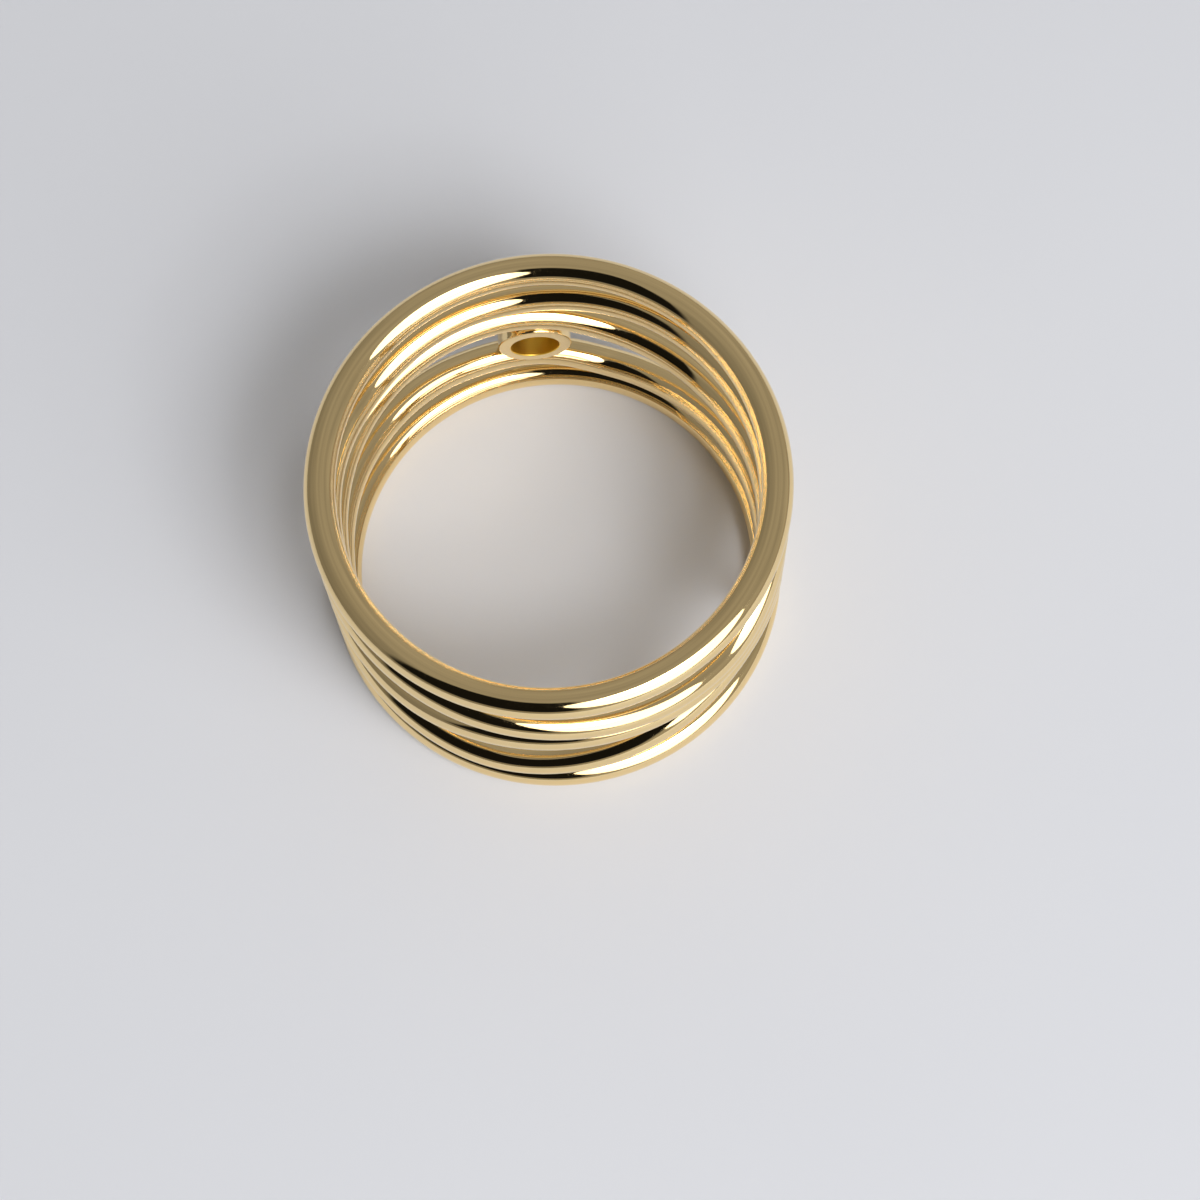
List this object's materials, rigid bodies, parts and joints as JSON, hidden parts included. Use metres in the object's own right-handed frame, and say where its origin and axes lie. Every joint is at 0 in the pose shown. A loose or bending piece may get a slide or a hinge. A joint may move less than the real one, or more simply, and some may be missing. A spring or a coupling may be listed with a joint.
{
  "type": "finger ring",
  "caption": "Wide openwork finger ring of wandering round gold strands between two plain rims, with one round stone in a tube collet.",
  "frame": {"origin": "on the ring's own axis, in the plane that the lower rim rests on", "axes": "+Z along the ring's axis and up as it lies on a table; +Y from the axis to the stone"},
  "size_m": [0.0198, 0.0207, 0.0129],
  "materials": {
    "gold": "polished yellow gold",
    "diamond": "faceted and polished"
  },
  "bodies": {
    "root": {"band": "gold", "diamond": "diamond"}
  },
  "joints": []
}
